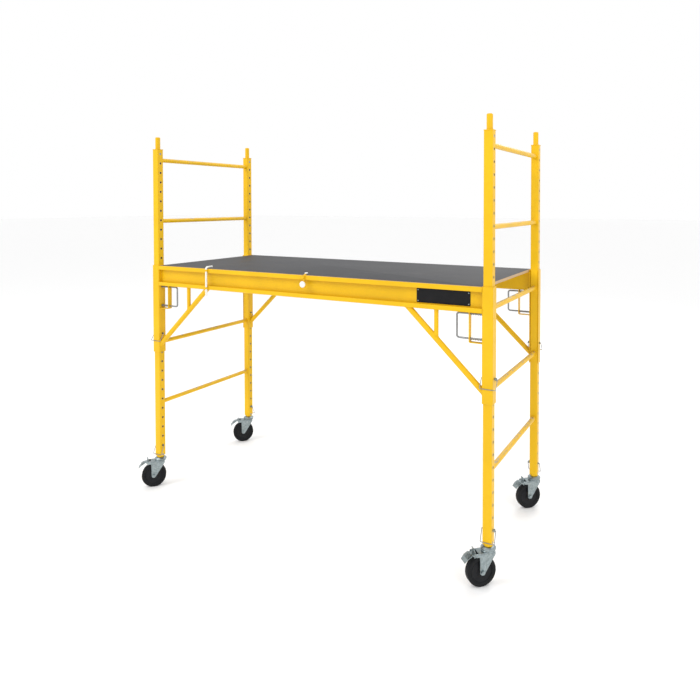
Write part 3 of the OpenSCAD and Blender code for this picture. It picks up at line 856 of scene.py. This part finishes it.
@dataclass
class Caster:
    """A braked swivel caster, drawn about its swivel axis with the wheel trailing to -X, in millimetres."""

    corner: Corner
    wheel_radius: float = 62.5
    tread_half: float = 16.0
    hub_half: float = 17.5
    bore: float = 8.05
    leg_inner: float = 19.0
    leg_outer: float = 22.5
    leg_tip: float = 11.0
    crown_low: float = 136.5
    race_low: float = 140.0
    race_top: float = 145.0
    pivot: tuple[float, float] = (-64.0, 134.0)
    turn: Matrix = field(init=False)
    trail: float = field(init=False)

    def __post_init__(self) -> None:
        """Reads where the caster stands and which way it trails."""
        post = centre_of(self.corner.node("post"))
        wheel = centre_of(self.corner.node("caster_wheel"))
        back = Vector((wheel.x - post.x, wheel.y - post.y))
        self.trail = back.length / MM
        heading = math.atan2(-back.y, -back.x)
        self.turn = Matrix.Translation((post.x / MM, post.y / MM, 0)) @ Matrix.Rotation(heading, 4, "Z")

    def axle(self) -> Matrix:
        """Takes +Z to the axle, with the origin at the wheel's middle."""
        return self.turn @ Matrix.Translation((-self.trail, 0, self.wheel_radius)) @ UPRIGHT

    def tyre_profile(self) -> list[Flat]:
        """The tyre's outline as [radius, width]."""
        r, w = self.wheel_radius, self.tread_half
        half = [(47.2, w - 2.4), (49.5, w - 0.9), (53, w - 0.2)] + arc((r - 6, w - 6.2), 5.95, 78, 8, 6)
        half += [(r - 0.15, 6.2), (r - 0.9, 5.6), (r - 0.9, 4.8), (r - 0.1, 4.2), (r, 0.6)]
        return half + [(a, -b) for a, b in reversed(half)]

    def hub_profile(self) -> list[Flat]:
        """The moulded hub's outline as [radius, width]."""
        w = self.tread_half
        half = [(self.bore, self.hub_half), (16.6, self.hub_half), (17.8, self.hub_half - 0.9), (18.8, 12.6)]
        half += [(20.6, 10.9), (23.0, 10.2), (33.0, 9.9), (41.6, 10.4), (43.4, 11.6), (44.4, w - 1.6)]
        half += [(45.4, w - 1.2), (46.4, w - 1.4), (47.2, w - 2.4)]
        return half + [(a, -b) for a, b in reversed(half)]

    def build_wheel(self) -> None:
        """Makes the tyre and the dished hub."""
        body = self.corner.node("caster_wheel")
        tyre = Blank()
        tyre.lathe(self.tyre_profile(), self.axle(), 96)
        rubber = tyre.make(self.corner.node("tyre"), [TYRE_RUBBER], smooth=30)
        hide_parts(body)
        hub = Blank()
        hub.lathe(self.hub_profile(), self.axle(), 72)
        core = hub.make(self.corner.node("wheel_hub"), [HUB_PLASTIC], bevel=0.5)
        for piece in (rubber, core):
            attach(piece, body)

    def leg_outline(self) -> list[Flat]:
        """The fork leg's outline in X and Z, with the ear that holds the brake."""
        hub = (-self.trail, self.wheel_radius)
        rear, front = (-46.5, 124.0), (20.0, 126.0)

        def tangent(point: Flat, side: int) -> float:
            """Angle at which the edge through a point leaves the tip's arc."""
            to = Vector(point) - Vector(hub)
            return math.degrees(math.atan2(to.y, to.x) + side * math.acos(self.leg_tip / to.length))

        tip = arc(hub, self.leg_tip, tangent(rear, 1), 360 + tangent(front, -1), 16)
        ear = arc((-66, 136), 6, 138, 240, 8)
        crown = [(22, self.race_low), (-60, self.race_low)]
        return crown + ear + [(-60, 126), (-52, 125.4), rear] + tip + [front, (22, 130)]

    def build_fork(self) -> None:
        """Makes the pressed fork with its lower race."""
        fork = Blank()
        side = self.turn @ UPRIGHT
        for low, high in ((-self.leg_outer, -self.leg_inner), (self.leg_inner, self.leg_outer)):
            fork.plate(self.leg_outline(), low, high, side)
        outer, inner, bend, foot = self.leg_outer, self.leg_inner, 3.4, 134.0
        bridge = [(-outer, foot)] + arc((-outer + bend, self.race_low - bend), bend, 180, 90, 5)
        bridge += arc((outer - bend, self.race_low - bend), bend, 90, 0, 5) + [(outer, foot)]
        bridge += [(inner, foot), (inner - 0.8, self.crown_low)]
        bridge += [(-inner + 0.8, self.crown_low), (-inner, foot)]
        across = self.turn @ Matrix.Rotation(math.radians(90), 4, "Z") @ UPRIGHT
        fork.plate(bridge, -50, 22, across)
        race = [(8.2, self.race_low - 1), (28.6, self.race_low - 1)]
        race += [(29, self.race_low + 1.6), (27.6, self.race_low + 3.6)]
        race += [(25.4, self.race_top - 0.1), (15, self.race_top - 0.1), (8.2, self.race_top - 0.8)]
        fork.lathe(race, self.turn, 64)
        made = fork.make(self.corner.node("pressed_fork"), [BRIGHT_ZINC], bevel=0.7)
        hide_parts(self.corner.node("caster_fork"))
        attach(made, self.corner.node("caster_swivel"))

    def build_brake(self) -> None:
        """Makes the foot brake: barrel, ridged pedal, release tab and shoe."""
        brake = Blank()
        place = self.turn @ Matrix.Translation((self.pivot[0], 0, self.pivot[1]))
        pedal = rounded([(0, 3), (-16, 5), (-38, -8), (-47, -24)], 5, 4)
        widths = [34.0 if x > -15 else 42.0 for x, _ in pedal]
        widths[-1] = 36.0
        brake.ribbon(pedal, widths, 2.4, place)
        tab = rounded([(-1, 2), (4, 14), (-4, 25)], 5, 4)
        brake.ribbon(tab, [26.0] * (len(tab) - 1) + [21.0], 2.4, place)
        brake.ribbon([(0, 0), (0, -8), (0, -14.4)], [26.0] * 3, 3.9, place)
        for share in (0.12, 0.32, 0.52, 0.72, 0.92):
            x, z = -21 - share * 15, 2.2 - share * 8.9
            brake.tube([place @ Vector((x, y, z + 1.2)) for y in (-17.5, -17, 17, 17.5)], 1.0, 10)
        for radius, half in ((5.0, 18.6), (3.0, 23.9)):
            brake.tube([place @ Vector((0, y, 0)) for y in (-half, 0, half)], radius, 24)
        made = brake.make(self.corner.node("brake_pedal"), [BRIGHT_ZINC], bevel=0.5)
        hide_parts(self.corner.node("caster_brake"))
        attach(made, self.corner.node("caster_brake"))

    def build(self) -> None:
        """Makes the caster's three detailed pieces."""
        self.build_wheel()
        self.build_fork()
        self.build_brake()
        LOG.info("caster %s: trail %.1f mm", self.corner.label, self.trail)


# ---------------------------------------------------------------- platform


@dataclass
class Deck:
    """The film-faced plywood walking surface."""

    corner_radius: float = 5.0
    edge: float = 0.9

    def build(self) -> None:
        """Makes the panel: film on its faces, veneers round its edge."""
        low, high = (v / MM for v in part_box("deck_panel"))
        r = self.corner_radius
        outline: list[Flat] = []
        corners = ((high.x, high.y, 0), (low.x, high.y, 90), (low.x, low.y, 180), (high.x, low.y, 270))
        for x, y, start in corners:
            middle = (x - math.copysign(r, x), y - math.copysign(r, y))
            outline += arc(middle, r, start, start + 90, 6)
        panel = Blank()
        panel.plate(outline, low.z, high.z, Matrix.Identity(4))
        made = panel.make("plywood_deck", [DECK_FILM, DECK_EDGE], bevel=self.edge)
        for polygon in made.data.polygons:
            polygon.material_index = 0 if abs(polygon.normal.z) > 0.9 else 1
        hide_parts("deck_panel")
        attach(made, FRAME_BODY)
        LOG.info("deck %.0f x %.0f mm", high.x - low.x, high.y - low.y)


@dataclass
class DeckClip:
    """Upright spindle with a round grip, whose white-capped top turns in over the deck."""

    rod: float = 8.0
    knob: float = 30.0
    reach: float = 32.0
    cap: float = 17.0
    flutes: int = 12
    grip_steps: tuple[Flat, ...] = (
        (9.0, 0.80), (8.3, 0.95), (6.4, 1.0), (2.4, 1.0), (1.0, 0.93), (0.2, 0.78), (0.0, 0.4)
    )

    def build_spindle(self, x: float, high: Vector, grip: float) -> None:
        """Makes the bent yellow rod.

        Args:
            x: its place along the platform.
            high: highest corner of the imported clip.
            grip: height of the grip's middle.
        """
        y, top = high.y - self.reach, high.z - self.rod / 2
        path = rounded([(y, grip - 7.5), (y, top), (high.y - 1.0, top)], self.rod, 8)
        spindle = Blank()
        spindle.tube([Vector((x, a, b)) for a, b in path], self.rod / 2, 20)
        made = spindle.make("clip_spindle", [YELLOW_COAT], smooth=50)
        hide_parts("deck_clip")
        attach(made, "deck_clip")

    def build_grip(self, x: float, low: Vector, high: Vector, grip: float) -> None:
        """Makes the white fluted grip and the white cap on the rod's end.

        Args:
            x: its place along the platform.
            low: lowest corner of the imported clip.
            high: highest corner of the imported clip.
            grip: height of the grip's middle.
        """
        white = Blank()
        rings = []
        for depth, share in self.grip_steps:
            ring = []
            for i in range(self.flutes * 6):
                turn = TAU * i / (self.flutes * 6)
                flute = 0.5 * (1 + math.cos(turn * self.flutes)) if share > 0.9 else 0
                wide = self.knob / 2 * share - flute
                ring.append(Vector((x + wide * math.cos(turn), low.y + depth, grip + wide * math.sin(turn))))
            rings.append(ring)
        white.rings(rings)
        top = high.z - self.rod / 2
        sleeve = [high.y - self.cap, high.y - self.cap + 0.6, high.y - 1.4, high.y - 0.5, high.y]
        widths = dict(zip((0.0, 0.6, self.cap - 1.4, self.cap - 0.5, self.cap), (4.05, 4.3, 4.3, 3.9, 2.6)))
        ends = sorted(widths)
        white.tube(
            [Vector((x, y, top)) for y in sleeve],
            lambda run: widths[min(ends, key=lambda e: abs(e - run))],
            20,
        )
        made = white.make("clip_grip", [WHITE_COAT], smooth=50)
        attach(made, "deck_clip")

    def build(self) -> None:
        """Makes the bent spindle, its grip and its cap."""
        low, high = (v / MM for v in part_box("deck_clip"))
        x = (low.x + high.x) / 2
        grip = low.z + self.knob / 2
        self.build_spindle(x, high, grip)
        self.build_grip(x, low, high, grip)
        LOG.info("deck clip at x %.0f mm", x)


@dataclass
class PinSprings:
    """The two coil springs that hold one U pin home."""

    corner: Corner
    wire: float = 1.4
    turns: float = 6.0
    steps: int = 22
    kept: float = 0.31

    def build(self) -> None:
        """Makes both coils, with their turns closer together at both ends."""
        node = self.corner.node("u_pin_springs")
        low, high = (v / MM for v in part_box(node))
        radius = (high.y - low.y - self.wire) / 2
        y = (low.y + high.y) / 2
        coils = Blank()
        count = int(self.turns * self.steps)
        length = high.x - low.x - self.wire
        for z in (low.z + radius + self.wire / 2, high.z - radius - self.wire / 2):
            path = []
            for i in range(count + 1):
                share = i / count
                flat = 0.5 - 0.5 * math.cos(math.pi * share)
                along = low.x + self.wire / 2 + length * (0.55 * share + 0.45 * flat)
                turn = TAU * self.turns * share
                path.append(Vector((along, y + radius * math.cos(turn), z + radius * math.sin(turn))))
            coils.tube(path, self.wire / 2, 10)
        made = coils.make(node + "_wound", [SPRING_STEEL], smooth=60)
        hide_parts(node)
        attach(made, FRAME_BODY)
        self.corner.node("u_pin_pull")
        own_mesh(made)


# ---------------------------------------------------------------- welds


@dataclass
class Welds:
    """Weld beads where the frame's tubes and sheets meet, in millimetres."""

    bead: float = 1.5
    ripple: float = 2.6
    rung_radius: float = 11.0
    rung_count: int = 5
    neck_radius: float = 12.4
    brace_radius: float = 12.5
    strut_radius: float = 9.5
    brace_foot: float = 777.0
    head_reach: float = 330.0
    strut_reach: float = 202.0
    strap_in: float = 57.0
    web_in: float = 20.0
    saddle_bead: float = 1.2
    bracket_bead: float = 1.1

    def lay(
        self, blank: Blank, path: Sequence[Vector], closed: bool = False, bead: float | None = None
    ) -> None:
        """Lays a rippled bead along a path.

        Args:
            blank: what it is added to.
            path: its middle line.
            closed: the path returns to its start.
            bead: its radius, if not the usual one.
        """
        size = bead or self.bead
        blank.tube(path, lambda run: size * (1 + 0.13 * math.sin(TAU * run / self.ripple)), 8, closed)

    @staticmethod
    def line(a: Vector, b: Vector, pitch: float = 0.8) -> list[Vector]:
        """Evenly spaced points from a to b."""
        count = max(2, round((b - a).length / pitch))
        return [a.lerp(b, i / count) for i in range(count + 1)]

    @staticmethod
    def finish_piece(blank: Blank, name: str) -> None:
        """Makes a set of beads into one yellow piece of the frame."""
        made = blank.make(name, [YELLOW_COAT], smooth=70)
        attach(made, FRAME_BODY)
        LOG.info("%s: %d faces", name, len(made.data.polygons))

    def rungs(self, side: str) -> None:
        """Beads round both ends of each rung of one end frame."""
        low, high = (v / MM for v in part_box(f"rungs_{side}"))
        x = (low.x + high.x) / 2
        first, last = low.z + self.rung_radius, high.z - self.rung_radius
        ring = self.rung_radius + 0.5
        blank = Blank()
        for k in range(self.rung_count):
            z = first + (last - first) * k / (self.rung_count - 1)
            for y in (low.y + 0.5, high.y - 0.5):
                turns = [TAU * i / 88 for i in range(88)]
                path = [Vector((x + ring * math.cos(t), y, z + ring * math.sin(t))) for t in turns]
                self.lay(blank, path, True)
        self.finish_piece(blank, f"rung_welds_{side}")

    def spigots(self) -> None:
        """Beads round the coupling pins, on the posts' top plates."""
        blank = Blank()
        for corner in Corner:
            post = centre_of(corner.node("post")) / MM
            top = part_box("post_top_plates")[1].z / MM
            ring = self.neck_radius + 0.7
            turns = [TAU * i / 100 for i in range(100)]
            path = [Vector((ring * math.cos(t), ring * math.sin(t), 0)) for t in turns]
            path = [Vector((post.x, post.y, top + 0.3)) + step for step in path]
            self.lay(blank, path, True)
        self.finish_piece(blank, "spigot_welds")

    def truss(self, side: str) -> None:
        """Beads of one side's braces, struts, brackets and beam ends.

        Args:
            side: front or rear.
        """
        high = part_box("braces")[1] / MM
        beam_low, beam_high = (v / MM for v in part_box(f"beam_{side}"))
        out = -1 if side == "front" else 1
        y = out * (high.y - self.brace_radius)
        face = beam_low.y if out < 0 else beam_high.y
        web = face - out * self.web_in
        bracket = [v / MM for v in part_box(f"pin_brackets_{side}")]
        foot_z, head_reach, strut_reach = self.brace_foot, self.head_reach, self.strut_reach
        rise, run = high.z - foot_z, head_reach
        long = math.hypot(rise, run)
        blank = Blank()
        turns = [TAU * i / 110 for i in range(110)]
        for end in (-1, 1):
            x0 = end * high.x
            r = self.brace_radius
            ring = r + 0.5
            foot = [
                Vector((x0 - end * 0.5, y + ring * math.cos(t), foot_z + ring * long / run * math.sin(t)))
                for t in turns
            ]
            self.lay(blank, foot, True)
            for reach, radius in ((head_reach, r * long / rise), (strut_reach, self.strut_radius)):
                wide = r if reach == head_reach else self.strut_radius
                arc_turns = [math.radians(-out * 90 - 118 + 236 * i / 80) + math.pi for i in range(81)]
                middle = x0 - end * reach
                along, aside = radius + 0.5, wide + 0.5
                path = [
                    Vector((middle + along * math.cos(t), y + aside * math.sin(t), high.z - 0.4))
                    for t in arc_turns
                ]
                self.lay(blank, [p for p in path if (p.y - (web + out * 1.0)) * out > 0])
            saddle = []
            for t in turns:
                dx, dy = (self.strut_radius + 0.4) * math.cos(t), (self.strut_radius + 0.4) * math.sin(t)
                lift = math.sqrt(max(r * r - dy * dy, 0.0)) * long / run
                inward = strut_reach - dx
                saddle.append(Vector((x0 - end * inward, y + dy, foot_z + lift + inward * rise / run)))
            self.lay(blank, saddle, True, self.saddle_bead)
            x = x0 - end * 0.3
            for z in (bracket[0].z, bracket[0].z + 3.0):
                joint = self.line(Vector((x, bracket[0].y + 1, z)), Vector((x, bracket[1].y - 1, z)))
                self.lay(blank, joint, bead=self.bracket_bead)
            edge = sorted((web, bracket[0].y + 1 if out < 0 else bracket[1].y - 1))
            for dx in (-1.8, 1.8):
                x = x0 - end * (self.strap_in + dx)
                joint = self.line(Vector((x, edge[0], high.z - 0.2)), Vector((x, edge[1], high.z - 0.2)))
                self.lay(blank, joint, bead=self.bracket_bead)
            for y_line, spans in ((face, ((1, 19), (87.5, 105.5))), (web, ((4, 92),))):
                for a, b in spans:
                    base = Vector((x0 - end * 0.2, y_line - out * 0.3, beam_low.z))
                    self.lay(blank, self.line(base + Vector((0, 0, a)), base + Vector((0, 0, b))))
        self.finish_piece(blank, f"truss_welds_{side}")

    def build(self) -> None:
        """Lays every bead."""
        for side in ("left", "right"):
            self.rungs(side)
        self.spigots()
        for side in ("front", "rear"):
            self.truss(side)


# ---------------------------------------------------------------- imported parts, and the studio


@dataclass
class PackedFinishes:
    """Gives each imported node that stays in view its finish."""

    by_stem: dict[str, Finish] = field(
        default_factory=lambda: {
            "post_top_plates": YELLOW_COAT,
            "post": YELLOW_POST,
            "coupling_pins": YELLOW_COAT,
            "foot_collars": YELLOW_COAT,
            "rungs": YELLOW_RUNG,
            "beam": YELLOW_COAT,
            "end_channels": YELLOW_COAT,
            "braces": YELLOW_COAT,
            "struts": YELLOW_COAT,
            "pin_brackets": YELLOW_COAT,
            "latch_guides": YELLOW_COAT,
            "deck_panel": DECK_FILM,
            "deck_cleats": SOFTWOOD,
            "deck_screws": BRIGHT_ZINC,
            "label_plate": LABEL_BLACK,
            "label_rivets": BRIGHT_ZINC,
            "deck_latch": WHITE_COAT,
            "deck_clip": WHITE_COAT,
            "u_pin_springs": SPRING_STEEL,
            "u_pin": ROD_ZINC,
            "truss_lock_pins": BRIGHT_ZINC,
            "caster_lock_pins": BRIGHT_ZINC,
            "truss_bail": ROD_ZINC,
            "caster_bail": ROD_ZINC,
            "caster_stems": BRIGHT_ZINC,
            "caster_fork": BRIGHT_ZINC,
            "caster_axle": BRIGHT_ZINC,
            "caster_wheel": TYRE_RUBBER,
            "caster_brake": BRIGHT_ZINC,
        }
    )

    def build(self) -> None:
        """Puts each finish on its nodes."""
        for name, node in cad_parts.items():
            stem = max((s for s in self.by_stem if name.startswith(s)), key=len)
            material = self.by_stem[stem].material()
            node.data.materials.clear()
            node.data.materials.append(material)
            LOG.info("%s: %s", name, material.name)


@dataclass
class Studio:
    """Pale floor, soft lights and the camera."""

    eye: tuple[float, float, float] = (1.7032, -2.7246, 1.5302)
    yaw: float = 0.4931
    pitch: float = 0.024
    roll: float = -0.0005
    lens: float = 31.73
    shift: tuple[float, float] = (-0.0435, -0.188)
    floor_half: float = 60.0

    def build_floor(self) -> None:
        """Makes the wide pale floor."""
        mesh = bpy.data.meshes.new("floor")
        f = self.floor_half
        mesh.from_pydata([(-f, -f, 0), (f, -f, 0), (f, f, 0), (-f, f, 0)], [], [(0, 1, 2, 3)])
        floor = bpy.data.objects.new("floor", mesh)
        bpy.context.scene.collection.objects.link(floor)
        pale = bpy.data.materials.new("pale floor")
        pale.use_nodes = True
        shader = pale.node_tree.nodes["Principled BSDF"]
        shader.inputs["Base Color"].default_value = (0.97, 0.97, 0.97, 1)
        shader.inputs["Roughness"].default_value = 0.6
        mesh.materials.append(pale)

    def build_light(
        self, name: str, place: Sequence[float], target: Sequence[float], power: float, size: float
    ) -> None:
        """Makes a soft square light.

        Args:
            name: its name.
            place: where it hangs.
            target: what it faces.
            power: its power in watts.
            size: its side in metres.
        """
        lamp = bpy.data.lights.new(name, "AREA")
        lamp.energy, lamp.size = power, size
        made = bpy.data.objects.new(name, lamp)
        made.location = place
        made.rotation_euler = (Vector(target) - Vector(place)).to_track_quat("-Z", "Y").to_euler()
        bpy.context.scene.collection.objects.link(made)

    def build_camera(self) -> None:
        """Makes the camera."""
        data = bpy.data.cameras.new("camera")
        data.lens, data.sensor_width = self.lens, 36.0
        data.shift_x, data.shift_y = self.shift
        camera = bpy.data.objects.new("camera", data)
        camera.location = self.eye
        ahead = Vector(
            (
                -math.sin(self.yaw) * math.cos(self.pitch),
                math.cos(self.yaw) * math.cos(self.pitch),
                -math.sin(self.pitch),
            )
        )
        right = Vector((math.cos(self.yaw), math.sin(self.yaw), 0))
        up = right.cross(ahead)
        tilt_right = right * math.cos(self.roll) + up * math.sin(self.roll)
        tilt_up = up * math.cos(self.roll) - right * math.sin(self.roll)
        camera.rotation_euler = Matrix((tilt_right, tilt_up, -ahead)).transposed().to_euler()
        bpy.context.scene.collection.objects.link(camera)
        bpy.context.scene.camera = camera

    def build(self) -> None:
        """Makes the whole studio."""
        self.build_floor()
        self.build_light("key", (-2.6, -3.4, 4.6), (0, 0, 0.8), 120, 2.6)
        self.build_light("fill", (4.2, -2.2, 2.6), (0.3, 0, 0.9), 40, 3.0)
        self.build_light("back", (1.0, 4.2, 4.4), (0, 0, 1.0), 70, 3.0)
        world = bpy.data.worlds.new("studio")
        world.use_nodes = True
        sky = world.node_tree.nodes["Background"]
        sky.inputs["Color"].default_value = (1, 1, 1, 1)
        sky.inputs["Strength"].default_value = 1.0
        bpy.context.scene.world = world
        bpy.context.scene.view_settings.view_transform = "Standard"
        self.build_camera()


def main() -> None:
    """Builds the finishes, the pieces and the studio."""
    logging.basicConfig(level=logging.INFO, format="%(name)s: %(message)s")
    PackedFinishes().build()
    for corner in Corner:
        Caster(corner).build()
        PinSprings(corner).build()
    Deck().build()
    DeckClip().build()
    Welds().build()
    Studio().build()


if __name__ == "__main__":
    main()
